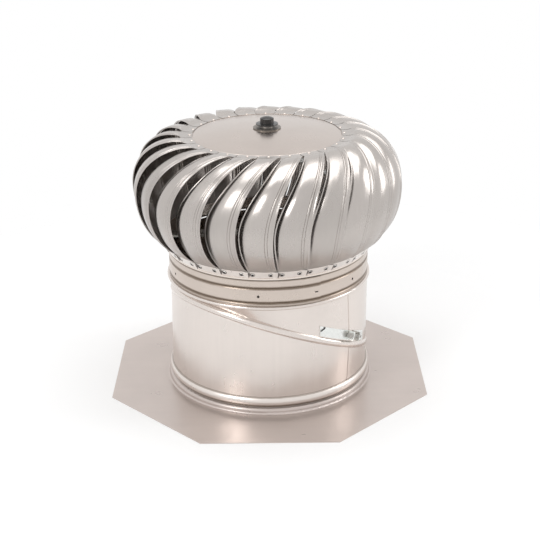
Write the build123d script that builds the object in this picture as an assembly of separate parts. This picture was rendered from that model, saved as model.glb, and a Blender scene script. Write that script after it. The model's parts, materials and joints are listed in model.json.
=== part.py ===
from build123d import *
import math
import os

os.makedirs("parts", exist_ok=True)

# Roof turbine ventilator. Millimetres, +Z up the duct, -Y to the front, origin on the
# duct axis at the underside of the roof flashing. Bearings are degrees round the duct
# from the front, growing to the right.

# ---------------------------------------------------------------- sheet and gaps
DUCT_R = 152.4            # outside radius of the 12 inch throat
SHEET = 0.8               # aluminium sheet of throat, collar, ring, vanes and dome
FLAT_GAP = 0.05           # flat sheet laid on flat sheet inside one body
FOOT_GAP = 0.2            # room between the foot of a vane and the rotor ring
SWIVEL_GAP = 0.4          # radial room between the two halves of a swivel bead
SEAT_GAP = 0.02           # running gap between the flat seats of a swivel
SHAFT_FIT = 0.05          # radial running clearance of the shaft

# ---------------------------------------------------------------- roof flashing
PLATE_ACROSS = 480.0      # octagon, across the flats
PLATE_T = 1.0
NECK_R = DUCT_R + 0.8     # outside radius of the upstanding neck
ROLL_R = DUCT_R + 6.0     # outside radius of the rolled ring at the foot of the neck
ROLL_H = 9.6
ROLL_FOOT = 2.6           # how far the roll's foot spreads over the plate

# ---------------------------------------------------------------- level swivel
FOOT_SEAT = 19.2          # height of the flange that the lower throat rests on
FOOT_BEAD_R = DUCT_R + 4.6
FOOT_BEAD_UP = 7.0        # bead above the seat
FOOT_BEAD_DOWN = 8.4      # bead below the seat
FOOT_BEAD_TOP = FOOT_SEAT + FOOT_BEAD_UP

# ---------------------------------------------------------------- slanting swivel
SLANT = 22.5              # tilt of the joint, half of the 45 degree range of pitch
SLANT_HIGH = -48.0        # bearing of its highest point
SLANT_R = DUCT_R + 3.6    # outside radius of the wall at the joint
SLANT_SEAT = 0.4          # flat face of the joint, above its middle plane
SLANT_TOP = 5.0
SLANT_LOW = -5.6
SLANT_BEAD_R = SLANT_R + 3.4
SLANT_RISE = SLANT_R * math.sin(math.radians(SLANT))
SHORT_SIDE_LOW = 10.6     # wall left under the joint at its lowest point
SHORT_SIDE_HIGH = 11.4    # wall left over the joint at its highest point
SLANT_Z = FOOT_BEAD_TOP + SHORT_SIDE_LOW + SLANT_RISE

# lock seam down each half of the throat
SEAM_BEARING = 51.4
SEAM_HALF = 1.2           # degrees to each side
SEAM_PROUD = 0.6

# ---------------------------------------------------------------- lip and collar
LIP_LOW = SLANT_Z + SLANT_RISE + SHORT_SIDE_HIGH
LIP_H = 5.4
LIP_R = DUCT_R + 3.4
COLLAR_Z0 = LIP_LOW + LIP_H           # the collar stands on the lip
COLLAR_H = 40.4
COLLAR_Z1 = COLLAR_Z0 + COLLAR_H
COLLAR_GROOVES = (COLLAR_Z0 + 4.4, COLLAR_Z1 - 13.4)
GROOVE_DEPTH = 1.0
GROOVE_HALF = 1.9
GROOVE_FLAT = 0.6
COLLAR_LAP = 29.0         # bearing of the lap joint of the collar
LAP_WIDTH = 8.0
STUB_R = DUCT_R - SHEET - GROOVE_DEPTH - 0.5   # spigot inside the collar
STUB_H = 22.5
SCREW_HOLE_R = 2.0
SCREW_Z = COLLAR_Z0 + 15.4
SCREW_COUNT = 6
SCREW_BEARING = -5.6

# ---------------------------------------------------------------- clamp on the slanting joint
CLAMP_BEARING = 51.5      # where the bolt is
CLAMP_LEFT = 52.9         # length of the left strap, from its ear
CLAMP_RIGHT = 30.9
CLAMP_LOW = SLANT_TOP + 1.6
CLAMP_WIDTH = 14.5
CLAMP_T = 1.4
EAR_OUT = 15.0
EAR_HALF = 7.8            # from the middle of the bolt to the middle of an ear
EAR_ROOT = EAR_HALF - 0.1     # where a strap meets its ear
BOLT_R = 2.5
BOLT_HOLE_GAP = 0.1
BOLT_INSET = 5.6
BOLT_HEAD_R = 4.6
BOLT_HEAD_T = 3.6
BOLT_TAIL = 9.0
NUT_T = 4.4

# ---------------------------------------------------------------- rotor ring
RING_R = DUCT_R + 1.2     # outside radius at the hem
RING_LIFT = 1.2           # air gap over the collar
RING_HEM = 2.4
RING_SLOPE = 0.58         # radius gained per height
RING_Z0 = COLLAR_Z1 + RING_LIFT
RING_HEM_Z = RING_Z0 + RING_HEM

# ---------------------------------------------------------------- vanes
VANES = 24
VANE_STEP = 360.0 / VANES
VANE_PHASE = 4.5          # bearing of one joint between feet
VANE_T = 0.8
VANE_SWEEP = 19.0         # how far the tip of a vane leads its foot
VANE_LAG = 0.13           # share of the sweep by which its belly hangs back
FOOT_Z0 = RING_HEM_Z + 1.4
FOOT_H = 12.6
FOOT_Z1 = FOOT_Z0 + FOOT_H
FOOT_STEP = 5.52          # jump outward from the foot to the blade
FOOT_RISE = 3.5
LOW_A, LOW_B = 66.0, 91.0     # lower quarter of the outline: radial and upright half axes
HIGH_A, HIGH_B = 70.0, 76.5   # upper quarter
LOW_START = 60.0          # degrees below the equator where the blade starts
RING_Z1 = FOOT_Z1 - 0.3
FOOT_LEAN = math.hypot(1, RING_SLOPE)
FOOT_TOP_R = RING_R + RING_SLOPE * (FOOT_Z1 - RING_HEM_Z) + (FOOT_GAP + VANE_T) * FOOT_LEAN
EQUATOR_R = FOOT_TOP_R + FOOT_STEP + LOW_A * (1 - math.cos(math.radians(LOW_START)))
EQUATOR_Z = FOOT_Z1 + FOOT_RISE + LOW_B * math.sin(math.radians(LOW_START))
LOUVRE = 11.0             # how deep the tucked edge lies below the next vane
VANE_GAP = 2.6            # open width between the edges of neighbouring vanes
JOINT_GAP = 0.4           # between neighbouring feet and tips
RIB_RISE = 1.1

# ---------------------------------------------------------------- crown
CREST_R = EQUATOR_R - HIGH_A
CROWN_DROP = 5.8          # crest of the vanes above the underside of the dome flange
CROWN_Z = EQUATOR_Z + HIGH_B - CROWN_DROP
FLANGE_R = CREST_R - 7.4
DOME_R = CREST_R - 21.4
DOME_RISE = 9.6
TIP_GAP = 1.2             # from the foot of the dome to the vane tips
DOME_TOP = CROWN_Z + SHEET + DOME_RISE
DOME_UNDER = DOME_TOP - SHEET
TIP_TOP = CROWN_Z + SHEET + FLAT_GAP + VANE_T

# ---------------------------------------------------------------- fixed frame and shaft
BUSH_R = 9.5
BUSH_FLANGE_R = 14.0
BUSH_FLANGE_T = 3.0
BUSH_UP = 11.0
BUSH_DOWN = 8.0
BAR_Z = COLLAR_Z1 + 14.2  # underside of the cross bar
BAR_T = 3.0
BAR_W = 24.0
BAR_GAP = 0.1             # between the bar's legs and the inside of the collar
BAR_END = DUCT_R - SHEET - BAR_GAP
BAR_TOP = BAR_Z + BAR_T
LEG_LOW = COLLAR_GROOVES[1] + GROOVE_HALF + 2.1
ARCH_T = 2.0
ARCH_W = 20.0
ARCH_TOP = CROWN_Z - 34.0
ARCH_FOOT_OUT = BAR_END - 15.5
ARCH_FOOT_IN = ARCH_FOOT_OUT - 22.0
ARCH_SHOULDER = 28.0      # half width of the flat top
SHAFT_R = 6.0
SHAFT_TAIL = 5.0
SHOULDER_R = 11.0
SHOULDER_H = 9.0
THRUST_R = 10.5
THRUST_H = 8.0
CLIP_R = 10.0
CLIP_T = 1.4
CLIP_GAP = 0.2
CLIP_Z = BAR_TOP - BUSH_DOWN - CLIP_GAP - CLIP_T

# ---------------------------------------------------------------- hub
WASHER_R = 20.5
WASHER_T = 1.6
SPACER_R = 9.6
SPACER_H = 4.4
NUT_FLANGE_R = 16.4
NUT_FLANGE_T = 1.8
NUT_R = 10.2
NUT_H = 9.8
NUT_CROWN = 2.6
NUT_BORE = 5.0
SHAFT_IN_NUT = 4.6
NUT_Z = DOME_TOP + WASHER_T + SPACER_H

# ---------------------------------------------------------------- rivets
EYELET_R = 1.8
EYELET_HOLE_R = 1.1
EYELET_HEAD_R = 2.7
EYELET_HEAD_T = 0.7
EYELET_PITCH = (2.4, 11.7)    # degrees from the left edge of each foot
CROWN_RIVET_R = 1.2
BAR_RIVET_R = 2.0
BAR_RIVET_SPACING = 12.0
RIVET_HEAD = 1.0

HUGE = 2 * (DUCT_R + PLATE_ACROSS)    # reach of the cutting wedges


# ---------------------------------------------------------------- helpers
def bearing(deg):
    """Unit direction at a bearing."""
    a = math.radians(deg)
    return Vector(math.sin(a), -math.cos(a), 0)


def slant_frame():
    """Frame of the slanting joint: Z along its axis, X level."""
    high, lean = bearing(SLANT_HIGH), math.radians(SLANT)
    axis = Vector(0, 0, math.cos(lean)) - high * math.sin(lean)
    return Plane(origin=(0, 0, SLANT_Z), x_dir=bearing(SLANT_HIGH + 90), z_dir=axis)


SLANTED = slant_frame()


def ring_of(edges):
    """Solid of revolution about Z of a closed profile drawn as (radius, height)."""
    return revolve(Plane.XZ * make_face(Wire(edges)), Axis.Z, 360)


def chain(*points):
    """Straight edges through the points."""
    return [Line(a, b) for a, b in zip(points, points[1:])]


def ring_from(*points):
    return ring_of(chain(*points, points[0]))


def disc(z, height, radius, bore):
    return ring_from((bore, z), (radius, z), (radius, z + height), (bore, z + height))


def cap_height(radius, rise, r):
    """Height of a shallow cap above its rim, at radius r."""
    ball = (radius ** 2 + rise ** 2) / (2 * rise)
    return rise - ball + math.sqrt(ball ** 2 - r ** 2)


def cap_arc(radius, top, rise):
    """Arc of a shallow cap from its rim to the axis."""
    middle = (radius / 2, top - rise + cap_height(radius, rise, radius / 2))
    return ThreePointArc((radius, top - rise), middle, (0, top))


def sector(start, end):
    """Tall wedge between two bearings."""
    sides = [HUGE * bearing(b) for b in (start, (start + end) / 2, end)]
    corners = [(0, 0)] + [(v.X, v.Y) for v in sides]
    return extrude(make_face(Polyline(*corners, close=True)), HUGE)


def gore(z, r_flat, offset, r_slant):
    """Solid between a level circle and a circle parallel to the slanting joint."""
    level = Plane(origin=(0, 0, z), x_dir=SLANTED.x_dir, z_dir=(0, 0, 1))
    rims = [Edge.make_circle(r_flat, level), Edge.make_circle(r_slant, SLANTED.offset(offset))]
    rims.sort(key=lambda rim: rim.center().Z)
    return Solid.make_loft([Wire([rim]) for rim in rims], ruled=True)


def gore_wall(z, offset, thickness=SHEET, out=0.0):
    """Sheet of one half of the throat, its outside standing out from the wall by out."""
    outer = gore(z, DUCT_R + out, offset, SLANT_R + out)
    return outer - gore(z, DUCT_R + out - thickness, offset, SLANT_R + out - thickness)


def gore_seam(z, offset):
    """Flat lock seam standing a little proud of the wall."""
    shell = gore_wall(z, offset, SEAM_PROUD + SHEET / 2, out=SEAM_PROUD)
    return shell & sector(SEAM_BEARING - SEAM_HALF, SEAM_BEARING + SEAM_HALF)


def swivel_bead(wall_r, bead_r, lip_r, top, seat, low):
    """Rolled bead that closes over the flange of the piece below and rests on it."""
    inner = wall_r - SHEET
    middle, rest = (low + seat) / 2 + 0.2, seat + SEAT_GAP
    return ring_of([
        Line((inner, rest), (inner, top)),
        Line((inner, top), (wall_r, top)),
        ThreePointArc((wall_r, top), (bead_r, (top + low) / 2), (lip_r, low)),
        Line((lip_r, low), (lip_r, low + SHEET)),
        ThreePointArc((lip_r, low + SHEET), (bead_r - 1.8 * SHEET, middle), (bead_r - SHEET, rest)),
        Line((bead_r - SHEET, rest), (inner, rest)),
    ])


def one(shape):
    """The single solid of a result."""
    solids = shape.solids()
    if len(solids) != 1:
        raise ValueError("expected one solid, got %d" % len(solids))
    return solids[0]


def save(name, shape):
    shape.label = name
    export_step(shape, "parts/%s.step" % name)


# ---------------------------------------------------------------- roof flashing
def make_flashing():
    """Octagonal sheet whose centre is drawn up into a rolled ring and a flanged neck."""
    plate = extrude(RegularPolygon(PLATE_ACROSS / 2, 8, major_radius=False, rotation=22.5), PLATE_T)
    plate = plate - Cylinder(ROLL_R - SHEET, 3 * PLATE_T)
    inner, hollow = NECK_R - SHEET, ROLL_R - 1.5 * SHEET
    flange = FOOT_BEAD_R - SHEET - 2 * SWIVEL_GAP
    waist = ROLL_H * 0.44
    roll = [
        Line((ROLL_R + ROLL_FOOT, 0), (ROLL_R + ROLL_FOOT, PLATE_T)),
        ThreePointArc(
            (ROLL_R + ROLL_FOOT, PLATE_T),
            (ROLL_R + ROLL_FOOT / 4, PLATE_T + (waist - PLATE_T) * 0.3),
            (ROLL_R, waist),
        ),
        ThreePointArc((ROLL_R, waist), (ROLL_R - 1.3, ROLL_H - 1.6), (NECK_R + 1.0, ROLL_H)),
        *chain(
            (NECK_R + 1.0, ROLL_H),
            (NECK_R, ROLL_H + 0.6),
            (NECK_R, FOOT_SEAT - SHEET),
            (flange, FOOT_SEAT - SHEET),
            (flange, FOOT_SEAT),
            (inner, FOOT_SEAT),
            (inner, ROLL_H),
        ),
        ThreePointArc((inner, ROLL_H), (hollow - 0.8, ROLL_H - 2.6), (hollow, waist)),
        *chain((hollow, waist), (hollow, 0), (ROLL_R + ROLL_FOOT, 0)),
    ]
    return one(plate + ring_of(roll))


# ---------------------------------------------------------------- throat
def column(z, offset, seat, shrink=0.0):
    """Solid core of the lower half: a gore and the short round spigot up to the seat."""
    spigot = SLANTED * disc(offset, seat - offset, SLANT_R - shrink, 0)
    return gore(z, DUCT_R - shrink, offset, SLANT_R - shrink) + spigot


def make_lower_throat():
    """Lower half with its bead on the flashing and the flange that carries the upper half."""
    low = FOOT_SEAT - FOOT_BEAD_DOWN
    bead = swivel_bead(DUCT_R, FOOT_BEAD_R, NECK_R + SWIVEL_GAP, FOOT_BEAD_TOP, FOOT_SEAT, low)
    under = SLANT_LOW - 1.0
    shell = column(FOOT_BEAD_TOP, under, SLANT_SEAT) - column(FOOT_BEAD_TOP, under, SLANT_SEAT, SHEET)
    flange_r = SLANT_BEAD_R - SHEET - 2 * SWIVEL_GAP
    flange = SLANTED * disc(SLANT_SEAT - SHEET, SHEET, flange_r, SLANT_R - SHEET / 2)
    return one(shell + bead + flange + gore_seam(FOOT_BEAD_TOP, under))


def screw_holes():
    """Radial drills for the screws that join collar and throat."""
    drill = Pos(DUCT_R, 0, SCREW_Z) * Rot(0, 90, 0) * Cylinder(SCREW_HOLE_R, 8)
    turn = 360 / SCREW_COUNT
    return [Rot(0, 0, SCREW_BEARING - 90 + k * turn) * drill for k in range(SCREW_COUNT)]


def make_upper_throat():
    """Upper half with its bead on the slanting joint, the lip and the spigot for the collar."""
    bead = swivel_bead(
        SLANT_R, SLANT_BEAD_R, SLANT_R + SWIVEL_GAP, SLANT_TOP, SLANT_SEAT, SLANT_LOW
    )
    inner, rim = DUCT_R - SHEET, DUCT_R + 0.6
    lip = [
        Line((inner, LIP_LOW), (DUCT_R, LIP_LOW)),
        ThreePointArc((DUCT_R, LIP_LOW), (LIP_R, LIP_LOW + LIP_H / 2), (rim, COLLAR_Z0)),
        *chain(
            (rim, COLLAR_Z0),
            (STUB_R, COLLAR_Z0),
            (STUB_R, COLLAR_Z0 + STUB_H),
            (STUB_R - SHEET, COLLAR_Z0 + STUB_H),
            (STUB_R - SHEET, COLLAR_Z0 - SHEET),
            (inner, COLLAR_Z0 - 2 * SHEET),
            (inner, LIP_LOW),
        ),
    ]
    body = SLANTED * bead + gore_wall(LIP_LOW, SLANT_TOP) + ring_of(lip)
    return one(body + gore_seam(LIP_LOW, SLANT_TOP) - screw_holes())


# ---------------------------------------------------------------- collar of the turbine
def make_collar():
    """Rolled band with two pressed grooves, a lap joint and six screw holes."""
    outer = [(DUCT_R, COLLAR_Z0)]
    for z in COLLAR_GROOVES:
        outer += [
            (DUCT_R, z - GROOVE_HALF),
            (DUCT_R - GROOVE_DEPTH, z - GROOVE_FLAT),
            (DUCT_R - GROOVE_DEPTH, z + GROOVE_FLAT),
            (DUCT_R, z + GROOVE_HALF),
        ]
    outer.append((DUCT_R, COLLAR_Z1))
    inner = [(r - SHEET, z) for r, z in reversed(outer)]
    low, high = COLLAR_GROOVES[0] + GROOVE_HALF + 0.4, COLLAR_GROOVES[1] - GROOVE_HALF - 0.4
    lap = disc(low, high - low, DUCT_R + SHEET, DUCT_R - SHEET / 2)
    lap = lap & sector(COLLAR_LAP - LAP_WIDTH, COLLAR_LAP)
    return one(ring_from(*outer, *inner) + lap - screw_holes())


# ---------------------------------------------------------------- clamp on the slanting joint
def clamp_frame():
    """Frame at the middle of the clamp: X outward, Y across the straps, Z along the bolt."""
    out = bearing(CLAMP_BEARING)
    axis = SLANTED.z_dir
    z = SLANT_Z + (CLAMP_LOW + CLAMP_WIDTH / 2 - DUCT_R * out.dot(axis)) / axis.Z
    return Plane(origin=(out.X * DUCT_R, out.Y * DUCT_R, z), x_dir=out, z_dir=out.cross(axis))


def clamp_bolt_frame():
    return clamp_frame() * Pos(EAR_OUT - BOLT_INSET, 0, 0)


def make_clamp_lug(length, side):
    """Strap of a length, with an ear on the given side of the bolt's middle."""
    near = CLAMP_BEARING - side * math.degrees(EAR_ROOT / DUCT_R)
    far = near - side * math.degrees(length / DUCT_R)
    strap = gore_wall(LIP_LOW, SLANT_TOP, CLAMP_T, out=CLAMP_T + FLAT_GAP)
    slab = SLANTED.offset(CLAMP_LOW) * extrude(Circle(HUGE), CLAMP_WIDTH)
    strap = strap & slab & sector(min(near, far), max(near, far))
    ear = Pos(EAR_OUT / 2, 0, side * EAR_HALF) * Box(EAR_OUT, CLAMP_WIDTH - 1, CLAMP_T)
    inside = gore(LIP_LOW, DUCT_R + FLAT_GAP, SLANT_TOP, SLANT_R + FLAT_GAP)
    hole = clamp_bolt_frame() * Cylinder(BOLT_R + BOLT_HOLE_GAP, 8 * EAR_HALF)
    return one(strap + (clamp_frame() * ear - inside) - hole)


def make_clamp_bolt():
    face = EAR_HALF + CLAMP_T / 2
    shank = Pos(0, 0, -BOLT_TAIL / 2) * Cylinder(BOLT_R, 2 * face + BOLT_TAIL)
    head = Pos(0, 0, face) * extrude(RegularPolygon(BOLT_HEAD_R, 6), BOLT_HEAD_T)
    return one(clamp_bolt_frame() * (shank + head))


def make_clamp_nut():
    face = EAR_HALF + CLAMP_T / 2
    nut = extrude(RegularPolygon(BOLT_HEAD_R, 6), NUT_T) - Cylinder(BOLT_R + FLAT_GAP, 4 * NUT_T)
    return one(clamp_bolt_frame() * Pos(0, 0, -face - NUT_T) * nut)


# ---------------------------------------------------------------- fixed frame inside the head
def strip(points, thick):
    """Closed outline of a bent strap, its left face following the points."""
    normals = []
    for a, b in zip(points, points[1:]):
        size = math.dist(a, b)
        normals.append(((b[1] - a[1]) / size, -(b[0] - a[0]) / size))
    back = []
    for i, p in enumerate(points):
        m, n = normals[max(i - 1, 0)], normals[min(i, len(normals) - 1)]
        k = thick / (1 + m[0] * n[0] + m[1] * n[1])
        back.append((p[0] + k * (m[0] + n[0]), p[1] + k * (m[1] + n[1])))
    return list(points) + back[::-1]


def bent_bar(half, thick, width):
    """Strap lying in the XZ plane: the given left half and its mirror image."""
    points = half + [(-x, z) for x, z in reversed(half)]
    outline = make_face(Polyline(*strip(points, thick), close=True))
    return extrude(Plane.XZ * outline, width / 2, both=True)


def make_cross_bar():
    """Flat bar across the head, its legs turned down inside the collar."""
    bar = bent_bar([(-BAR_END, LEG_LOW), (-BAR_END, BAR_TOP)], BAR_T, BAR_W)
    bar = bar & disc(LEG_LOW, BAR_TOP - LEG_LOW, BAR_END, 0)
    return one(bar - Pos(0, 0, BAR_Z) * Cylinder(BUSH_R + FLAT_GAP, 4 * BAR_T))


def make_arch():
    """Strap that springs from the cross bar and holds the upper bearing."""
    foot, rise = BAR_TOP + ARCH_T, ARCH_TOP - BAR_TOP
    half = [
        (-ARCH_FOOT_IN, foot),
        (-ARCH_FOOT_OUT, foot),
        (-ARCH_FOOT_OUT + 0.2 * rise, BAR_TOP + 0.56 * rise),
        (-ARCH_FOOT_OUT + 0.52 * rise, ARCH_TOP - 0.1 * rise),
        (-ARCH_SHOULDER, ARCH_TOP),
    ]
    arch = bent_bar(half, ARCH_T, ARCH_W)
    return one(arch - Pos(0, 0, ARCH_TOP) * Cylinder(BUSH_R + FLAT_GAP, 4 * ARCH_T))


def make_bush(seat):
    """Flanged bush: flange on the seat, body through the hole below it."""
    bore = SHAFT_R + SHAFT_FIT
    return one(ring_from(
        (bore, seat - BUSH_DOWN),
        (BUSH_R, seat - BUSH_DOWN),
        (BUSH_R, seat),
        (BUSH_FLANGE_R, seat),
        (BUSH_FLANGE_R, seat + BUSH_FLANGE_T),
        (BUSH_R + 1.0, seat + BUSH_FLANGE_T),
        (BUSH_R + 1.0, seat + BUSH_UP),
        (bore, seat + BUSH_UP),
    ))


# ---------------------------------------------------------------- rivets
def rivet(radius, shank):
    """Solid rivet along Z: shank below the origin, low dome head above."""
    return ring_of([
        *chain((0, -shank), (radius, -shank), (radius, 0), (2 * radius, 0)),
        cap_arc(2 * radius, RIVET_HEAD, RIVET_HEAD),
        Line((0, RIVET_HEAD), (0, -shank)),
    ])


def eyelet():
    """Hollow rivet along Z with its rolled head above the origin."""
    shank = FOOT_GAP + VANE_T + SHEET
    return ring_from(
        (EYELET_HOLE_R, -shank),
        (EYELET_R, -shank),
        (EYELET_R, 0),
        (EYELET_HEAD_R, 0),
        (EYELET_HEAD_R - 0.5, EYELET_HEAD_T),
        (EYELET_HOLE_R, EYELET_HEAD_T),
    )


def make_foot_eyelets():
    """Two eyelets through the foot of every vane and the rotor ring."""
    z = (FOOT_Z0 + FOOT_Z1) / 2
    r, _ = foot_point(z)
    stations = [VANE_PHASE + k * VANE_STEP + p for k in range(VANES) for p in EYELET_PITCH]
    placed = []
    for at in stations:
        out = bearing(at)
        spot = Plane(origin=(out.X * r, out.Y * r, z), z_dir=out + Vector(0, 0, -RING_SLOPE))
        placed.append(spot * eyelet())
    return Compound(children=placed)


def make_crown_rivets():
    """One rivet through the tip of every vane and the flange of the dome."""
    r = (DOME_R + TIP_GAP + FLANGE_R) / 2 - 3.0
    first = VANE_PHASE + VANE_STEP / 2 + VANE_SWEEP
    stations = [bearing(first + k * VANE_STEP) * r for k in range(VANES)]
    shank = VANE_T + FLAT_GAP + SHEET
    return Compound(children=[Pos(v.X, v.Y, TIP_TOP) * rivet(CROWN_RIVET_R, shank) for v in stations])


def make_bar_rivets():
    """Two rivets through the collar into each leg of the cross bar."""
    z = (LEG_LOW + COLLAR_Z1) / 2
    spot = Pos(DUCT_R, 0, z) * Rot(0, 90, 0) * rivet(BAR_RIVET_R, SHEET + BAR_GAP + BAR_T)
    apart = math.degrees(BAR_RIVET_SPACING / DUCT_R) / 2
    turns = [side + step for side in (0, 180) for step in (-apart, apart)]
    return Compound(children=[Rot(0, 0, turn) * spot for turn in turns])


def make_arch_rivets():
    """One rivet through each foot of the arch into the cross bar."""
    middle = (ARCH_FOOT_IN + ARCH_FOOT_OUT) / 2 - 2.0
    top = BAR_TOP + ARCH_T
    spots = [Pos(-middle, 0, top), Pos(middle, 0, top)]
    return Compound(children=[spot * rivet(BAR_RIVET_R, ARCH_T + BAR_T) for spot in spots])


# ---------------------------------------------------------------- rotor ring
def make_rotor_ring():
    """Cone with an upright hem, carrying the feet of the vanes."""
    top_r = RING_R + RING_SLOPE * (RING_Z1 - RING_HEM_Z)
    thick = SHEET * FOOT_LEAN
    return one(ring_from(
        (RING_R - SHEET, RING_Z0),
        (RING_R, RING_Z0),
        (RING_R, RING_HEM_Z),
        (top_r, RING_Z1),
        (top_r - thick, RING_Z1),
        (RING_R - SHEET, RING_HEM_Z + 0.25),
    ))


# ---------------------------------------------------------------- vanes
def foot_point(z):
    """Outer face of a vane's foot at a height."""
    return RING_R + RING_SLOPE * (z - RING_HEM_Z) + (FOOT_GAP + VANE_T) * FOOT_LEAN, z


def vane_outline():
    """Points (radius, height) down the outer face of a vane, from foot to tip."""
    low_angles = [math.radians(a) for a in (60, 48, 34, 17)]
    high_angles = [math.radians(a) for a in (0, 17, 34, 50, 65, 78)]
    low_c, high_c = EQUATOR_R - LOW_A, EQUATOR_R - HIGH_A
    feet = [foot_point(z) for z in (FOOT_Z0, (FOOT_Z0 + FOOT_Z1) / 2, FOOT_Z1)]
    low = [(low_c + LOW_A * math.cos(a), EQUATOR_Z - LOW_B * math.sin(a)) for a in low_angles]
    high = [(high_c + HIGH_A * math.cos(a), EQUATOR_Z + HIGH_B * math.sin(a)) for a in high_angles]
    crest = [
        (CREST_R + 2.6, TIP_TOP + 3.4),
        (FLANGE_R + 2.5, TIP_TOP + 1.2),
        (FLANGE_R - 3.0, TIP_TOP),
        (DOME_R + TIP_GAP, TIP_TOP),
    ]
    return feet + low + high + crest


def vane_section(r, z, normal, t):
    """Closed section across a vane where its outer face passes (r, z)."""
    n_r, n_z = normal
    lead = VANE_SWEEP * (t ** 2.6 - VANE_LAG * math.sin(math.pi * t))
    opened = math.sin(math.pi * t) ** 0.6
    width = math.radians(VANE_STEP) * r - JOINT_GAP - VANE_GAP * opened
    depth, rib = LOUVRE * opened, RIB_RISE * opened
    across = [
        (0.0, depth),
        (0.065, depth),
        (0.19, 0.42 * depth),
        (0.47, 0.10 * depth),
        (0.76, 0.02 * depth + rib / 2),
        (0.80, -0.2 * rib),
        (0.85, rib / 2),
        (0.95, 0.0),
        (1.0, 0.0),
    ]
    out = bearing(VANE_PHASE + VANE_STEP / 2 + lead)
    side = Vector(0, 0, 1).cross(out)
    up = Vector(out.X * n_r, out.Y * n_r, n_z)
    base = Vector(out.X * r, out.Y * r, z)
    faces = []
    for thick in (0.0, VANE_T):
        face = []
        for share, deep in across:
            x = (share - 0.5) * width
            curve = n_r * x * x / (2 * r)
            face.append(base + side * x - up * (curve + deep + thick))
        faces.append(face)
    outer, inner = faces
    return Wire.make_polygon([tuple(p) for p in outer + inner[::-1]], close=True)


def make_vane():
    """Swept louvre blade with a tucked left edge, a ribbed right edge, a foot and a tip."""
    points = vane_outline()
    run = [0.0]
    for a, b in zip(points, points[1:]):
        run.append(run[-1] + math.dist(a, b))
    sections = []
    for i, (r, z) in enumerate(points):
        before = points[max(i - 1, 0)]
        after = (r, z) if i == 2 else points[min(i + 1, len(points) - 1)]
        size = math.dist(before, after)
        normal = (after[1] - before[1]) / size, (before[0] - after[0]) / size
        t = (run[i] - run[2]) / (run[-3] - run[2])
        sections.append(vane_section(r, z, normal, min(max(t, 0.0), 1.0)))
    return Solid.make_loft(sections, ruled=True)


# ---------------------------------------------------------------- crown
def make_dome():
    """Shallow domed disc with a flat flange for the vane tips and a flat seat for the hub."""
    bore, seat = SHAFT_R + SHAFT_FIT, WASHER_R + 2.0
    top = CROWN_Z + SHEET

    def dome(r, lift=0.0):
        return r, top + lift + cap_height(DOME_R, DOME_RISE, r)

    mid, rim = DOME_R * 0.6, DOME_R - 0.2
    profile = [
        *chain((FLANGE_R, CROWN_Z), (FLANGE_R, top), (DOME_R + 0.6, top), dome(rim, 0.5)),
        ThreePointArc(dome(rim, 0.5), dome(mid, 0.1), (seat, DOME_TOP)),
        *chain((seat, DOME_TOP), (bore, DOME_TOP), (bore, DOME_UNDER), (seat, DOME_UNDER)),
        ThreePointArc((seat, DOME_UNDER), dome(mid, -SHEET), dome(DOME_R - 1.6, -SHEET)),
        *chain(dome(DOME_R - 1.6, -SHEET), (DOME_R - 0.6, CROWN_Z), (FLANGE_R, CROWN_Z)),
    ]
    return one(ring_of(profile))


# ---------------------------------------------------------------- shaft and hub
def make_shaft():
    """Shaft hung from the upper bush, with a shoulder that carries the dome."""
    tail = CLIP_Z - SHAFT_TAIL
    shoulder = DOME_UNDER - SHOULDER_H
    return one(ring_from(
        (0, tail),
        (SHAFT_R, tail),
        (SHAFT_R, shoulder),
        (SHOULDER_R, shoulder),
        (SHOULDER_R, DOME_UNDER),
        (SHAFT_R, DOME_UNDER),
        (SHAFT_R, NUT_Z + SHAFT_IN_NUT),
        (0, NUT_Z + SHAFT_IN_NUT),
    ))


def make_cap_nut():
    """Closed nut with a round flange and a domed crown."""
    bore, shelf, top = SHAFT_R + SHAFT_FIT, NUT_Z + NUT_FLANGE_T, NUT_Z + NUT_H + NUT_FLANGE_T
    return one(ring_of([
        *chain(
            (0, NUT_Z + NUT_BORE),
            (bore, NUT_Z + NUT_BORE),
            (bore, NUT_Z),
            (NUT_FLANGE_R, NUT_Z),
            (NUT_FLANGE_R, shelf - 0.6),
            (NUT_R, shelf),
            (NUT_R, top - NUT_CROWN),
        ),
        cap_arc(NUT_R, top, NUT_CROWN),
        Line((0, top), (0, NUT_Z + NUT_BORE)),
    ]))


# ---------------------------------------------------------------- every node
save("base_flashing", make_flashing())
save("lower_throat", make_lower_throat())
save("upper_throat", make_upper_throat())
save("turbine_collar", make_collar())
save("clamp_lug_left", make_clamp_lug(CLAMP_LEFT, 1))
save("clamp_lug_right", make_clamp_lug(CLAMP_RIGHT, -1))
save("clamp_bolt", make_clamp_bolt())
save("clamp_nut", make_clamp_nut())
save("cross_bar", make_cross_bar())
save("bar_rivets", make_bar_rivets())
save("bearing_arch", make_arch())
save("arch_rivets", make_arch_rivets())
save("lower_bearing", make_bush(BAR_TOP))
save("upper_bearing", make_bush(ARCH_TOP))
save("rotor_shaft", make_shaft())
save("thrust_collar", one(disc(ARCH_TOP + BUSH_UP, THRUST_H, THRUST_R, SHAFT_R)))
save("shaft_clip", one(disc(CLIP_Z, CLIP_T, CLIP_R, SHAFT_R)))
save("rotor_ring", make_rotor_ring())
vane = make_vane()
for number in range(VANES):
    save("vane_%02d" % (number + 1), Rot(0, 0, number * VANE_STEP) * vane)
save("foot_eyelets", make_foot_eyelets())
save("top_dome", make_dome())
save("crown_rivets", make_crown_rivets())
save("hub_washer", one(disc(DOME_TOP, WASHER_T, WASHER_R, SHAFT_R + SHAFT_FIT)))
save("hub_spacer", one(disc(DOME_TOP + WASHER_T, SPACER_H, SPACER_R, SHAFT_R + SHAFT_FIT)))
save("hub_cap_nut", make_cap_nut())
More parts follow.
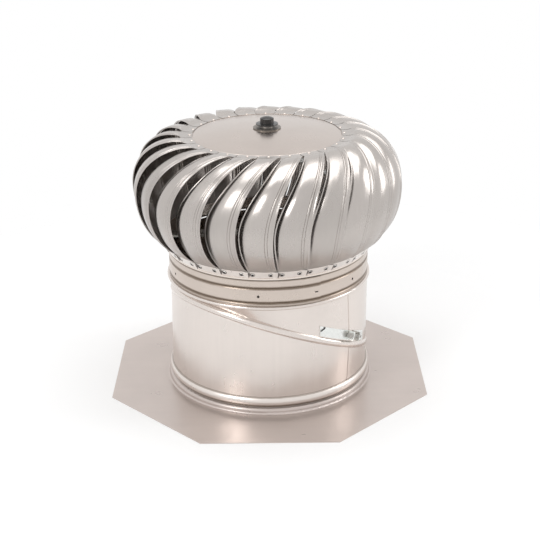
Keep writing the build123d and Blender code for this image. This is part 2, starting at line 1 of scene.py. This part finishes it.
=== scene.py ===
import bpy
import json
import math
from mathutils import Matrix, Vector


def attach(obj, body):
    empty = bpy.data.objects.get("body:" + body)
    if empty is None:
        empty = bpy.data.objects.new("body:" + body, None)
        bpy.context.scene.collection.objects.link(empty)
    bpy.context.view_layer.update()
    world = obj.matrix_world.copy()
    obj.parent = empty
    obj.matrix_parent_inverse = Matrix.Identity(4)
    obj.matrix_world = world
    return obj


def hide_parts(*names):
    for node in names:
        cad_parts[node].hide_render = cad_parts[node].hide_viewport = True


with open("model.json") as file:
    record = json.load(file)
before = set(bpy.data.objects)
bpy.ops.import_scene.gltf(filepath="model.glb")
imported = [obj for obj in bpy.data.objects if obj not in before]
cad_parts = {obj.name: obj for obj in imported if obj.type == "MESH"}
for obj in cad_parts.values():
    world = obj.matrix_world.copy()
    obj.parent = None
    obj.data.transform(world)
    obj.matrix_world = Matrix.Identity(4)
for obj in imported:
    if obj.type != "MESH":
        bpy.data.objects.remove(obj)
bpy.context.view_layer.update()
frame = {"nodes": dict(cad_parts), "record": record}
MM = 0.001

# ---------------------------------------------------------------- camera
CAMERA_DISTANCE = 1.7823
CAMERA_HEIGHT = 0.90467
AIM_HEIGHT = 0.167
CAMERA_SIDE = 0.0024
LENS_MM = 83.07
CAMERA_ROLL = -0.57


def make_camera():
    data = bpy.data.cameras.new("camera")
    data.sensor_width = 36.0
    data.lens = LENS_MM
    data.clip_end = 50.0
    camera = bpy.data.objects.new("camera", data)
    bpy.context.scene.collection.objects.link(camera)
    place = Vector((CAMERA_SIDE, -CAMERA_DISTANCE, CAMERA_HEIGHT))
    aim = Vector((CAMERA_SIDE, 0.0, AIM_HEIGHT))
    turn = (aim - place).to_track_quat("-Z", "Y").to_matrix().to_4x4()
    roll = Matrix.Rotation(math.radians(CAMERA_ROLL), 4, "Z")
    camera.matrix_world = Matrix.Translation(place) @ turn @ roll
    bpy.context.scene.camera = camera


make_camera()
bpy.context.scene.view_settings.view_transform = "Standard"


# ---------------------------------------------------------------- node helpers
class Graph:
    """Short way to write a node tree."""

    def __init__(self, tree):
        self.tree = tree

    def node(self, kind, inputs=None, **settings):
        made = self.tree.nodes.new(kind)
        for key, value in settings.items():
            setattr(made, key, value)
        for key, value in (inputs or {}).items():
            if isinstance(value, bpy.types.NodeSocket):
                self.tree.links.new(value, made.inputs[key])
            else:
                made.inputs[key].default_value = value
        return made

    def math(self, operation, a, b=0.0, clamp=False):
        made = self.node("ShaderNodeMath", {0: a, 1: b}, operation=operation, use_clamp=clamp)
        return made.outputs[0]

    def span(self, value, low, high, to_low=0.0, to_high=1.0):
        ports = {"Value": value, "From Min": low, "From Max": high, "To Min": to_low, "To Max": to_high}
        return self.node("ShaderNodeMapRange", ports, clamp=True).outputs["Result"]

    def blend(self, factor, a, b, mode="MIX"):
        made = self.node("ShaderNodeMix", data_type="RGBA", blend_type=mode)
        for port, value in ((0, factor), (6, a), (7, b)):
            if isinstance(value, bpy.types.NodeSocket):
                self.tree.links.new(value, made.inputs[port])
            else:
                made.inputs[port].default_value = value if port == 0 else (*value, 1)
        return made.outputs[2]

    def noise(self, vector, scale, detail=3.0, rough=0.55):
        ports = {"Vector": vector, "Scale": scale, "Detail": detail, "Roughness": rough}
        return self.node("ShaderNodeTexNoise", ports).outputs["Fac"]


# ---------------------------------------------------------------- light
def softbox(name, place, aim, size, power):
    data = bpy.data.lights.new(name, "AREA")
    data.shape = "RECTANGLE"
    data.size, data.size_y = size
    data.energy = power
    lamp = bpy.data.objects.new(name, data)
    lamp.location = place
    lamp.rotation_mode = "QUATERNION"
    lamp.rotation_quaternion = (Vector(aim) - Vector(place)).to_track_quat("-Z", "Y")
    bpy.context.scene.collection.objects.link(lamp)


softbox("key_softbox", (-1.5, -1.7, 1.7), (0, 0, 0.3), (0.9, 1.2), 18)
softbox("side_softbox", (1.9, 0.1, 1.1), (0, 0, 0.25), (0.7, 1.3), 8)
softbox("top_softbox", (0.0, 0.3, 2.6), (0, 0, 0.0), (2.4, 1.8), 27)

ROOM_LEVEL = 0.63


def make_world():
    """White to the camera and in reflections, an even pale room to everything else."""
    world = bpy.data.worlds.new("studio")
    bpy.context.scene.world = world
    world.use_nodes = True
    world.node_tree.nodes.clear()
    g = Graph(world.node_tree)
    room = g.node("ShaderNodeBackground", {"Color": (1, 1, 1, 1), "Strength": ROOM_LEVEL})
    white = g.node("ShaderNodeBackground", {"Color": (1, 1, 1, 1), "Strength": 1.0})
    rays = g.node("ShaderNodeLightPath").outputs
    mirrored = g.math("MAXIMUM", rays["Is Glossy Ray"], rays["Is Transmission Ray"])
    seen = g.math("MAXIMUM", rays["Is Camera Ray"], mirrored)
    mix = g.node("ShaderNodeMixShader", {0: seen, 1: room.outputs[0], 2: white.outputs[0]})
    g.node("ShaderNodeOutputWorld", {"Surface": mix.outputs[0]})


make_world()

FLOOR_R = 0.50
FLOOR_FADE = 0.42


def make_floor():
    """Round paper sweep that fades into the white backdrop."""
    reach, steps = FLOOR_R + FLOOR_FADE + 0.02, 96
    rim = [(reach * math.cos(a), reach * math.sin(a), 0) for a in (2 * math.pi * k / steps for k in range(steps))]
    mesh = bpy.data.meshes.new("floor")
    mesh.from_pydata(rim, [], [tuple(range(steps))])
    floor = bpy.data.objects.new("floor", mesh)
    bpy.context.scene.collection.objects.link(floor)
    material = bpy.data.materials.new("floor_paper")
    material.use_nodes = True
    material.node_tree.nodes.clear()
    g = Graph(material.node_tree)
    place = g.node("ShaderNodeTexCoord").outputs["Object"]
    away = g.node("ShaderNodeVectorMath", {0: place}, operation="LENGTH").outputs["Value"]
    paper = g.node("ShaderNodeBsdfDiffuse", {"Color": (0.95, 0.95, 0.95, 1)})
    clear = g.node("ShaderNodeBsdfTransparent")
    fade = g.span(away, FLOOR_R, FLOOR_R + FLOOR_FADE)
    mix = g.node("ShaderNodeMixShader", {0: fade, 1: paper.outputs[0], 2: clear.outputs[0]})
    g.node("ShaderNodeOutputMaterial", {"Surface": mix.outputs[0]})
    mesh.materials.append(material)


make_floor()


# ---------------------------------------------------------------- materials
def metal(name, color, rough, stretch, grain=0.05, cloud=0.06, seed=0.0, bare=1.0):
    """Rolled sheet: drawn grain, cloudy sheen, rubbed patches. bare is how metallic it is, 1 for clean metal."""
    material = bpy.data.materials.new(name)
    material.use_nodes = True
    g = Graph(material.node_tree)
    shader = material.node_tree.nodes["Principled BSDF"]
    place = g.node("ShaderNodeTexCoord").outputs["Object"]
    place = g.node("ShaderNodeVectorMath", {0: place, 1: (seed, seed * 0.7, 0)}, operation="ADD").outputs[0]
    drawn = g.node("ShaderNodeVectorMath", {0: place, 1: stretch}, operation="MULTIPLY").outputs[0]
    lines = g.noise(drawn, 0.7, 1.0, 0.4)
    clouds = g.noise(place, 14.0, 3.0, 0.5)
    rubbed = g.span(g.noise(place, 30.0, 2.0, 0.5), 0.5, 0.85)
    tone = g.math("ADD", g.math("MULTIPLY", g.math("SUBTRACT", lines, 0.5), 0.05),
                  g.math("MULTIPLY", g.math("SUBTRACT", clouds, 0.5), 0.16))
    value = g.math("ADD", tone, 1.0)
    shade = g.node("ShaderNodeHueSaturation", {"Color": (*color, 1), "Value": value}).outputs["Color"]
    sheen = g.math("ADD", g.math("MULTIPLY", g.math("SUBTRACT", lines, 0.5), grain),
                   g.math("MULTIPLY", g.math("SUBTRACT", clouds, 0.5), cloud * 2))
    sheen = g.math("ADD", g.math("ADD", sheen, rough), g.math("MULTIPLY", rubbed, 0.05), clamp=True)
    waves = g.noise(place, 20.0, 2.0, 0.4)
    bump = g.node("ShaderNodeBump", {"Height": waves, "Strength": 0.5, "Distance": 0.0012})
    shader.inputs["Metallic"].default_value = bare
    for port, socket in (("Base Color", shade), ("Roughness", sheen), ("Normal", bump.outputs[0])):
        material.node_tree.links.new(socket, shader.inputs[port])
    return material


def shade_banded(name, color, rough, stretch, bands, bare=1.0):
    """Rolled sheet with dark lines painted at heights: painted shade in grooves and creases, under hems and where
    parts meet.
    """
    material = metal(name, color, rough, stretch, bare=bare)
    g = Graph(material.node_tree)
    shader = material.node_tree.nodes["Principled BSDF"]
    place = g.node("ShaderNodeTexCoord").outputs["Object"]
    height = g.node("ShaderNodeSeparateXYZ", {0: place}).outputs["Z"]
    ragged = g.math("MULTIPLY", g.math("SUBTRACT", g.noise(place, 90.0), 0.5), 0.8 * MM)
    shade = shader.inputs["Base Color"].links[0].from_socket
    for middle, half, left in bands:
        off = g.math("ABSOLUTE", g.math("SUBTRACT", g.math("ADD", height, ragged), middle * MM))
        dull = g.span(off, half * 0.45 * MM, half * MM, 1.0, 0.0)
        dark = g.blend(1.0, shade, (left, 1.06 * left - 0.06, 1.12 * left - 0.12), "MULTIPLY")
        shade = g.blend(dull, shade, dark)
    material.node_tree.links.new(shade, shader.inputs["Base Color"])
    return material


def dulled_below(material, high, low, rough, bare):
    """Makes the metal rougher and less metallic from a height down to a lower one, in millimetres."""
    g = Graph(material.node_tree)
    shader = material.node_tree.nodes["Principled BSDF"]
    place = g.node("ShaderNodeTexCoord").outputs["Object"]
    height = g.node("ShaderNodeSeparateXYZ", {0: place}).outputs["Z"]
    worn = g.span(height, low * MM, high * MM, 1.0, 0.0)
    sheen = shader.inputs["Roughness"].links[0].from_socket
    worn_sheen = g.math("ADD", sheen, g.math("MULTIPLY", worn, rough), clamp=True)
    material.node_tree.links.new(worn_sheen, shader.inputs["Roughness"])
    material.node_tree.links.new(g.span(worn, 0.0, 1.0, 1.0, bare), shader.inputs["Metallic"])
    return material


def galvanised():
    """Zinc spangle over bright plate."""
    material = metal("zinc_plate", (0.80, 0.81, 0.79), 0.26, (260, 260, 60))
    g = Graph(material.node_tree)
    shader = material.node_tree.nodes["Principled BSDF"]
    place = g.node("ShaderNodeTexCoord").outputs["Object"]
    cells = g.node("ShaderNodeTexVoronoi", {"Vector": place, "Scale": 260.0}).outputs["Color"]
    spangle = g.node("ShaderNodeSeparateColor", {0: cells}).outputs[0]
    under = shader.inputs["Base Color"].links[0].from_socket
    shade = g.blend(g.span(spangle, 0.0, 1.0, 0.0, 0.35), under, (0.62, 0.65, 0.63))
    material.node_tree.links.new(shade, shader.inputs["Base Color"])
    return material


def moulded(name, color, rough):
    material = bpy.data.materials.new(name)
    material.use_nodes = True
    g = Graph(material.node_tree)
    shader = material.node_tree.nodes["Principled BSDF"]
    place = g.node("ShaderNodeTexCoord").outputs["Object"]
    speck = g.noise(place, 420.0, 4.0)
    dull = [c * 0.7 for c in color]
    shade = g.blend(speck, color, dull)
    bump = g.node("ShaderNodeBump", {"Height": speck, "Strength": 0.2, "Distance": 0.0002})
    material.node_tree.links.new(shade, shader.inputs["Base Color"])
    material.node_tree.links.new(g.span(speck, 0.3, 0.7, rough - 0.08, rough + 0.08), shader.inputs["Roughness"])
    material.node_tree.links.new(bump.outputs[0], shader.inputs["Normal"])
    return material


MILL = (0.49, 0.455, 0.43)
# Painted shade: dark lines drawn on the metal, each (height, half width, brightness left), heights in millimetres.
VANE_SHADE_LINES = ((231.0, 1.0, 0.6),)                        # top of the feet
# painted shade in the collar's grooves and under its hems
COLLAR_SHADE_LINES = ((178.2, 3.6, 0.34), (200.8, 3.6, 0.36),  # lower and upper groove
                (173.4, 1.8, 0.65), (213.4, 2.2, 0.45))  # lower and upper hem
# painted shade just above the flashing and in the crease at the bead
THROAT_SHADE_LINES = ((11.4, 5.0, 0.30), (25.8, 1.4, 0.5))     # over the flashing, and at the bead
WORN_TOP, WORN_FULL = 268.0, 236.0                       # the vanes are duller from the first height down
WORN_ROUGH, WORN_METALLIC = 0.20, 0.72
VANE_METALS = [dulled_below(shade_banded("vane_mill_%d" % k, [c * f for c in MILL], rough, (300, 300, 14), VANE_SHADE_LINES),
                            WORN_TOP, WORN_FULL, WORN_ROUGH, WORN_METALLIC)
               for k, (f, rough) in enumerate(((1.0, 0.26), (0.97, 0.29), (1.02, 0.24)))]
MATERIALS = {
    "mill_aluminium": metal("mill_aluminium", (0.72, 0.66, 0.62), 0.24, (240, 240, 10)),
    "plate_mill": metal("plate_mill", (0.58, 0.51, 0.475), 0.30, (12, 120, 120), 0.03, 0.08, bare=0.55),
    "dome_mill": metal("dome_mill", (0.55, 0.485, 0.445), 0.23, (420, 420, 420), 0.03),
    "collar_mill": shade_banded("collar_mill", (0.60, 0.525, 0.47), 0.28, (30, 30, 420), COLLAR_SHADE_LINES),
    "throat_mill": shade_banded("throat_mill", (0.75, 0.69, 0.65), 0.29, (240, 240, 10), THROAT_SHADE_LINES, 0.85),
    # painted light: a lighter, less metallic copy of the blade metal for the feet
    "foot_lit_mill": metal("foot_lit_mill", (0.86, 0.81, 0.77), 0.30, (200, 200, 60), bare=0.35),
    "ring_mill": metal("ring_mill", (0.76, 0.68, 0.62), 0.24, (30, 30, 420)),
    "rivet_aluminium": metal("rivet_aluminium", (0.80, 0.77, 0.74), 0.25, (200, 200, 200)),
    "zinc_plate": galvanised(),
    "shaft_steel": metal("shaft_steel", (0.42, 0.40, 0.38), 0.28, (60, 60, 500)),
    "dark_nut": moulded("dark_nut", (0.03, 0.028, 0.027), 0.20),
    # painted shade: steel darkened to stand for the shade under the hub nut and round the clamp bolt
    "shaded_steel": metal("shaded_steel", (0.22, 0.20, 0.18), 0.40, (60, 60, 500)),
    "bearing_nylon": moulded("bearing_nylon", (0.50, 0.44, 0.36), 0.5),
    # painted shade: a dark sheet for the shade along the lapped ends of the feet and round the eyelets
    "painted_shade": metal("painted_shade", (0.15, 0.13, 0.12), 0.45, (200, 200, 60), bare=0.5),
    # painted shade: a near-black sheet for the shade inside bores, slots and cuts
    "painted_hole_shade": moulded("painted_hole_shade", (0.015, 0.013, 0.012), 0.6),
}
NODE_METALS = {
    "base_flashing": "plate_mill",
    "lower_throat": "throat_mill",
    "top_dome": "dome_mill",
    "turbine_collar": "collar_mill",
    "rotor_ring": "ring_mill",
    # painted shade under the nut on the hub washer
    "hub_washer": "shaded_steel",
    "clamp_bolt": "shaft_steel",
    # painted shade round the bolt on the clamp nut
    "clamp_nut": "shaded_steel",
    "crown_rivets": "dome_mill",
}

for part in frame["record"]["subparts"]:
    node = frame["nodes"][part["node"]]
    material = MATERIALS[NODE_METALS.get(part["node"], part["material_slot"])]
    if not node.material_slots:
        node.data.materials.append(material)
    for held in node.material_slots:
        held.link = "OBJECT"
        held.material = material


# ---------------------------------------------------------------- vanes
VANES = 24
PHASE = 4.5               # bearing of one joint between feet, degrees
SWEEP = 19.0
LAG = 0.205
LOUVRE = 11.0
OPEN = 1.3
OPEN_MORE = 7.0           # further opening high on the left edge
JOINT = 0.4
SKIN = 0.6                # millimetres of sheet
COLLAR_TOP = 213.397
RING_R, RING_HEM_Z, RING_SLOPE = 153.6, COLLAR_TOP + 3.6, 0.58
FOOT_GAP, FOOT_HEIGHT = 1.4, 12.6
FOOT_Z0 = RING_HEM_Z + FOOT_GAP
FOOT_Z1 = FOOT_Z0 + FOOT_HEIGHT
LEAN = math.hypot(1, RING_SLOPE)
FOOT_CORNER = 5.5
FOOT_LAP = 3.4
FOOT_ROWS = 7
LOW_A, LOW_B, LOW_START = 66.0, 91.0, math.radians(60)
HIGH_A, HIGH_B, HIGH_END = 70.0, 76.5, math.radians(78)
FOOT_TOP_R = RING_R + RING_SLOPE * (FOOT_Z1 - RING_HEM_Z) + LEAN
EQUATOR_R = FOOT_TOP_R + 5.52 + LOW_A * (1 - math.cos(LOW_START))
EQUATOR_Z = FOOT_Z1 + 3.5 + LOW_B * math.sin(LOW_START)
CREST_R = EQUATOR_R - HIGH_A
CROWN_Z = EQUATOR_Z + HIGH_B - 5.8
TIP_TOP = CROWN_Z + 1.65


def smooth(points, steps):
    """Points of a smooth curve through the given ones."""
    ends = [points[0], *points, points[-1]]
    out = []
    for i in range(len(points) - 1):
        a, b, c, d = ends[i:i + 4]
        for k in range(steps):
            u = k / steps
            out.append(tuple(
                0.5 * (2 * q + (r - p) * u + (2 * p - 5 * q + 4 * r - s) * u ** 2
                       + (3 * q - p - 3 * r + s) * u ** 3)
                for p, q, r, s in zip(a, b, c, d)))
    return out + [points[-1]]


def blade_outline():
    """(radius, height) up the blade from the top of the foot to the tip, with its run share."""
    low = [(EQUATOR_R - LOW_A + LOW_A * math.cos(a), EQUATOR_Z - LOW_B * math.sin(a))
           for a in (LOW_START * (1 - k / 22) for k in range(22))]
    high = [(EQUATOR_R - HIGH_A + HIGH_A * math.cos(a), EQUATOR_Z + HIGH_B * math.sin(a))
            for a in (HIGH_END * k / 24 for k in range(25))]
    crest = [high[-1], (CREST_R + 2.6, TIP_TOP + 3.4), (CREST_R - 4.9, TIP_TOP + 1.2),
             (CREST_R - 10.4, TIP_TOP), (CREST_R - 20.2, TIP_TOP)]
    step = smooth([(FOOT_TOP_R, FOOT_Z1), (FOOT_TOP_R + 1.8, FOOT_Z1 + 1.2), low[0]], 3)[:-1]
    points = step + low + high[:-1] + smooth(crest, 4)
    run = [0.0]
    for a, b in zip(points, points[1:]):
        run.append(run[-1] + math.dist(a, b))
    full = next(q for q, (r, z) in zip(run, points) if r < CREST_R - 4.8 and z > EQUATOR_Z)
    return points, [min(q / full, 1.0) for q in run]


ACROSS = (0.0, 0.012, 0.028, 0.046, 0.062, 0.075, 0.09, 0.108, 0.13, 0.155, 0.185, 0.22, 0.27, 0.33, 0.40,
          0.48, 0.56, 0.63, 0.69, 0.735, 0.752, 0.763, 0.774, 0.79, 0.81, 0.826, 0.838, 0.85, 0.87, 0.90,
          0.925, 0.938, 0.948, 0.962, 0.978, 0.99, 1.0)
RAMP = ((0.0, 1.0), (0.055, 0.98), (0.14, 0.62), (0.27, 0.30), (0.47, 0.10), (0.74, 0.015), (1.0, 0.0))


def ramp_depth(s):
    for (a, p), (b, q) in zip(RAMP, RAMP[1:]):
        if s <= b:
            u = (s - a) / (b - a)
            return p + (q - p) * u
    return 0.0


def lump(s, centre, half):
    u = abs(s - centre) / half
    return 0.0 if u >= 1 else 0.5 * (1 + math.cos(math.pi * u))


def relief(s, opened):
    """Height in millimetres of rims, ribs and hems over the plain blade."""
    rim = 0.9 * lump(s, 0.035, 0.040)
    ribs = -0.75 * lump(s, 0.763, 0.014) - 0.75 * lump(s, 0.838, 0.014) + 0.35 * lump(s, 0.80, 0.05)
    hem = 0.95 * lump(s, 0.972, 0.042) - 0.35 * lump(s, 0.928, 0.014)
    return (rim + ribs + hem) * min(1.0, opened * 1.6)


def rows_of_vane():
    """Rows of (radius, height, slope, run share) for the foot, then the blade."""
    rise = FOOT_Z1 - FOOT_Z0 - 0.5
    foot = [(FOOT_TOP_R - RING_SLOPE * (0.5 + rise * (1 - k / (FOOT_ROWS - 1))),
             FOOT_Z0 + rise * k / (FOOT_ROWS - 1), 0.0)
            for k in range(FOOT_ROWS)]
    points, shares = blade_outline()
    return foot + [(r, z, t) for (r, z), t in zip(points, shares)]


def foot_shift(row, edge, side, up, along):
    """Rounds the right end of a foot and laps it over the foot beside it."""
    near = max(0.0, 1 - edge / (FOOT_CORNER + 1.5))
    share = row / (FOOT_ROWS - 1)
    shift = side * FOOT_LAP * near + up * 1.3 * min(1.0, 2.2 * near)
    if edge < FOOT_CORNER:
        cut = FOOT_CORNER - math.sqrt(FOOT_CORNER ** 2 - (FOOT_CORNER - edge) ** 2)
        shift += along * cut * (1 - share) - along * cut * 0.7 * share
    return shift


def vane_vertices():
    rows = rows_of_vane()
    outer, inner = [], []
    for i, (r, z, t) in enumerate(rows):
        before, after = rows[max(i - 1, 0)], rows[min(i + 1, len(rows) - 1)]
        size = math.dist(before[:2], after[:2])
        n_r, n_z = (after[1] - before[1]) / size, (before[0] - after[0]) / size
        lead = SWEEP * (t ** 2.6 - LAG * math.sin(math.pi * t))
        opened = math.sin(math.pi * t) ** 0.6 if 0 < t < 1 else 0.0
        more = OPEN_MORE * lump(t, 0.70, 0.38)
        width = math.radians(360 / VANES) * r - JOINT - OPEN * opened - more
        angle = math.radians(PHASE + 180 / VANES + lead)
        out = Vector((math.sin(angle), -math.cos(angle), 0))
        side = Vector((math.cos(angle), math.sin(angle), 0))
        up = Vector((out.x * n_r, out.y * n_r, n_z))
        along = Vector((out.x * -n_z, out.y * -n_z, n_r))
        for s in ACROSS:
            x = (s - 0.5) * width + more / 2
            sink = n_r * x * x / (2 * r) + LOUVRE * opened * ramp_depth(s) - relief(s, opened)
            point = Vector((out.x * r, out.y * r, z)) + side * x - up * sink
            if i < FOOT_ROWS:
                point += foot_shift(i, (1 - s) * width, side, up, along)
            outer.append(point * MM)
            inner.append((point - up * SKIN) * MM)
    return len(rows), outer, inner


def vane_mesh():
    rows, outer, inner = vane_vertices()
    wide, back = len(ACROSS), len(outer)
    faces = []
    for i in range(rows - 1):
        for j in range(wide - 1):
            a = i * wide + j
            faces.append((a, a + 1, a + wide + 1, a + wide))
            faces.append((back + a, back + a + wide, back + a + wide + 1, back + a + 1))
    rim = [j for j in range(wide)] + [i * wide + wide - 1 for i in range(1, rows)]
    rim += [(rows - 1) * wide + j for j in range(wide - 2, -1, -1)] + [i * wide for i in range(rows - 2, 0, -1)]
    for a, b in zip(rim, rim[1:] + rim[:1]):
        faces.append((b, a, back + a, back + b))
    return outer + inner, faces


def add_piece(name, points, faces, material, body, slot, turn=0.0, crease=50):
    mesh = bpy.data.meshes.new(name)
    mesh.from_pydata([tuple(p) for p in points], [], faces)
    mesh.transform(Matrix.Rotation(turn, 4, "Z"))
    mesh.shade_smooth()
    mesh.set_sharp_from_angle(angle=math.radians(crease))
    mesh.materials.append(material)
    piece = bpy.data.objects.new(name, mesh)
    bpy.context.scene.collection.objects.link(piece)
    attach(piece, body)
    return piece


VANE_POINTS, VANE_FACES = vane_mesh()
FOOT_FACES = 2 * (FOOT_ROWS - 1) * (len(ACROSS) - 1)
FOOT_EDGE = len(ACROSS) - 4      # first column of the painted shade line along the lapped end of a foot
for number in range(VANES):
    blade = add_piece("blade_%02d" % (number + 1), VANE_POINTS, VANE_FACES, VANE_METALS[(number * 7) % 3],
                      "rotor", "mill_aluminium", math.radians(number * 360 / VANES))
    # The feet get a lighter, less metallic copy of the blade metal, which is painted light, and a dark line of
    # painted shade along their lapped ends.
    blade.data.materials.append(MATERIALS["foot_lit_mill"])
    blade.data.materials.append(MATERIALS["painted_shade"])
    for face in blade.data.polygons[:FOOT_FACES]:
        face.material_index = 2 if (face.index // 2) % (len(ACROSS) - 1) >= FOOT_EDGE else 1
    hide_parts("vane_%02d" % (number + 1))


# ---------------------------------------------------------------- painted shade: dark discs in the bores of the eyelets and dark rings round them
EYELET_BEARINGS = (2.4, 11.7)    # of the two eyelets from the left end of a foot, degrees
BORE_RISE, BORE_R = 0.78, 2.1
RIM_RISE, RIM_R, RIM_INNER_R = 0.25, 3.7, 3.0


def foot_discs(rise, outer, inner=0.0, sides=14):
    """Flat discs or rings at the two eyelets of each foot, at a height over the foot."""
    z = (FOOT_Z0 + FOOT_Z1) / 2
    r = FOOT_TOP_R - RING_SLOPE * (FOOT_Z1 - z)
    points, faces = [], []
    for k in range(VANES):
        for pitch in EYELET_BEARINGS:
            angle = math.radians(PHASE + k * 360 / VANES + pitch)
            out = Vector((math.sin(angle), -math.cos(angle), -RING_SLOPE)).normalized()
            side = Vector((math.cos(angle), math.sin(angle), 0))
            up = out.cross(side)
            centre = Vector((r * math.sin(angle), -r * math.cos(angle), z)) + out * rise
            first = len(points)
            turns = [2 * math.pi * q / sides for q in range(sides)]
            points += [(centre + (side * math.cos(a) + up * math.sin(a)) * outer) * MM for a in turns]
            if inner:
                points += [(centre + (side * math.cos(a) + up * math.sin(a)) * inner) * MM for a in turns]
                faces += [(first + q, first + (q + 1) % sides, first + sides + (q + 1) % sides, first + sides + q)
                          for q in range(sides)]
            else:
                faces.append(tuple(range(first, first + sides)))
    return points, faces


# dark discs over the eyelet heads: painted shade inside their bores
add_piece("eyelet_bore_shade", *foot_discs(BORE_RISE, BORE_R), MATERIALS["painted_hole_shade"], "rotor", "rivet_aluminium")
# dark rings round the eyelets: painted shade where the heads sit on the feet
add_piece("eyelet_rim_shade", *foot_discs(RIM_RISE, RIM_R, RIM_INNER_R), MATERIALS["painted_shade"], "rotor", "rivet_aluminium")


# ---------------------------------------------------------------- lap joint of the collar
LAP_FROM, LAP_TO = 6.0, 29.3
COLLAR_R = 152.4
COLLAR_Z0 = 172.997


def collar_profile():
    """Outer face of the collar as (radius, height)."""
    points = [(COLLAR_R, COLLAR_Z0 + 0.1)]
    for z in (COLLAR_Z0 + 4.4, COLLAR_TOP - 13.4):
        points += [(COLLAR_R, z - 1.9), (COLLAR_R - 1.0, z - 0.6), (COLLAR_R - 1.0, z + 0.6), (COLLAR_R, z + 1.9)]
    return points + [(COLLAR_R, COLLAR_TOP - 0.1)]


def lap_sheet():
    profile, steps = collar_profile(), 34
    points, faces = [], []
    for k in range(steps + 1):
        share = k / steps
        angle = math.radians(LAP_FROM + (LAP_TO - LAP_FROM) * share)
        proud = 0.05 + 1.05 * min(1.0, share * 1.7)
        for lift in (proud, 0.02):
            points += [Vector((math.sin(angle) * (r + lift), -math.cos(angle) * (r + lift), z)) * MM
                       for r, z in profile]
    n = len(profile)
    for k in range(steps):
        a = 2 * n * k
        faces += [(a + j, a + j + 2 * n, a + j + 2 * n + 1, a + j + 1) for j in range(n - 1)]
        faces += [(a, a + n, a + 3 * n, a + 2 * n)]
    a = 2 * n * steps
    faces += [(a + j, a + n + j, a + n + j + 1, a + j + 1) for j in range(n - 1)]
    return points, faces


LAP_POINTS, LAP_FACES = lap_sheet()
add_piece("collar_lap", LAP_POINTS, LAP_FACES, MATERIALS["collar_mill"], "head_support", "mill_aluminium", crease=30)


def wrapped_plate(rows, steps, start, end, inner):
    """Thin plate wrapped round the duct: rows of (radius, height) between two bearings."""
    points = []
    for k in range(steps + 1):
        angle = math.radians(start + (end - start) * k / steps)
        out = (math.sin(angle), -math.cos(angle))
        points += [Vector((out[0] * r, out[1] * r, z)) * MM for r, z in rows]
        points += [Vector((out[0] * (r - inner), out[1] * (r - inner), z)) * MM for r, z in rows]
    n, faces = len(rows), []
    for k in range(steps):
        a, b = 2 * n * k, 2 * n * (k + 1)
        for j in range(n - 1):
            faces.append((a + j, b + j, b + j + 1, a + j + 1))
        faces.append((a, a + n, b + n, b))
        faces.append((a + n - 1, b + n - 1, b + 2 * n - 1, a + 2 * n - 1))
    for a in (0, 2 * n * steps):
        faces += [(a + j, a + j + 1, a + n + j + 1, a + n + j) for j in range(n - 1)]
    return points, faces


# slot and raised lip lanced through the lap, near its edge; the slot is a dark plate, painted shade inside the
# opening
SLOT_FROM, SLOT_TO = 25.9, 27.8
SLOT_Z0, SLOT_Z1 = 188.2, 189.8
SLOT_R = COLLAR_R + 1.15
PLATE_T = 0.2
SLOT = wrapped_plate([(SLOT_R, SLOT_Z0), (SLOT_R, SLOT_Z1)], 4, SLOT_FROM, SLOT_TO, PLATE_T)
LIP = wrapped_plate([(SLOT_R, SLOT_Z1), (COLLAR_R + 1.9, 190.5), (COLLAR_R + 1.2, 191.4)], 4, 25.7, 28.0, PLATE_T)
# the dark plate in the slot is painted shade
add_piece("lap_slot", *SLOT, MATERIALS["painted_hole_shade"], "head_support", "mill_aluminium")
add_piece("lap_slot_lip", *LIP, MATERIALS["collar_mill"], "head_support", "mill_aluminium")


# ---------------------------------------------------------------- painted shade in the cut of the lanced corner of the clamp strap
SLANT_AXIS = Vector((0.2843892, 0.2560652, 0.9238795))
SLANT_Z = 96.499
DUCT_R = 152.4
STRAP_START = 28.6        # bearing of the left end of the strap


def slant_point(bearing, above, r):
    """Point on the duct at a bearing, a height above the slanting joint along its axis."""
    out = Vector((math.sin(math.radians(bearing)), -math.cos(math.radians(bearing)), 0))
    z = SLANT_Z + (above - DUCT_R * out.dot(SLANT_AXIS)) / SLANT_AXIS.z
    return Vector((out.x * r, out.y * r, z)) * MM


def slant_strips(strips):
    """Thin plates on the duct: each (start, end, (low, high) at the start, (low, high) at the end, radius)."""
    points, faces, steps = [], [], 8
    for start, end, first, last, r in strips:
        base = len(points)
        for k in range(steps + 1):
            u = k / steps
            for level in (0, 1):
                above = first[level] + (last[level] - first[level]) * u
                points += [slant_point(start + (end - start) * u, above, r - d) for d in (0, 0.15)]
        for k in range(steps):
            q, w = base + 4 * k, base + 4 * k + 4
            faces += [(q, w, w + 2, q + 2), (q + 3, w + 3, w + 1, q + 1),
                      (q, q + 1, w + 1, w), (q + 2, w + 2, w + 3, q + 3)]
        q = base + 4 * steps
        faces += [(base, base + 2, base + 3, base + 1), (q, q + 1, q + 3, q + 2)]
    return points, faces


STRAP_FACE = 156.6
CLAMP_CREASE = slant_strips((
    (STRAP_START + 0.3, STRAP_START + 3.0, (13.0, 14.4), (18.6, 20.4), STRAP_FACE),
    (STRAP_START + 2.4, STRAP_START + 3.4, (18.8, 20.8), (19.6, 20.8), STRAP_FACE),
))
# dark strips on the strap: painted shade in the lance cut at its left end
add_piece("clamp_lance_shade", *CLAMP_CREASE, MATERIALS["painted_hole_shade"], "head_support", "zinc_plate")
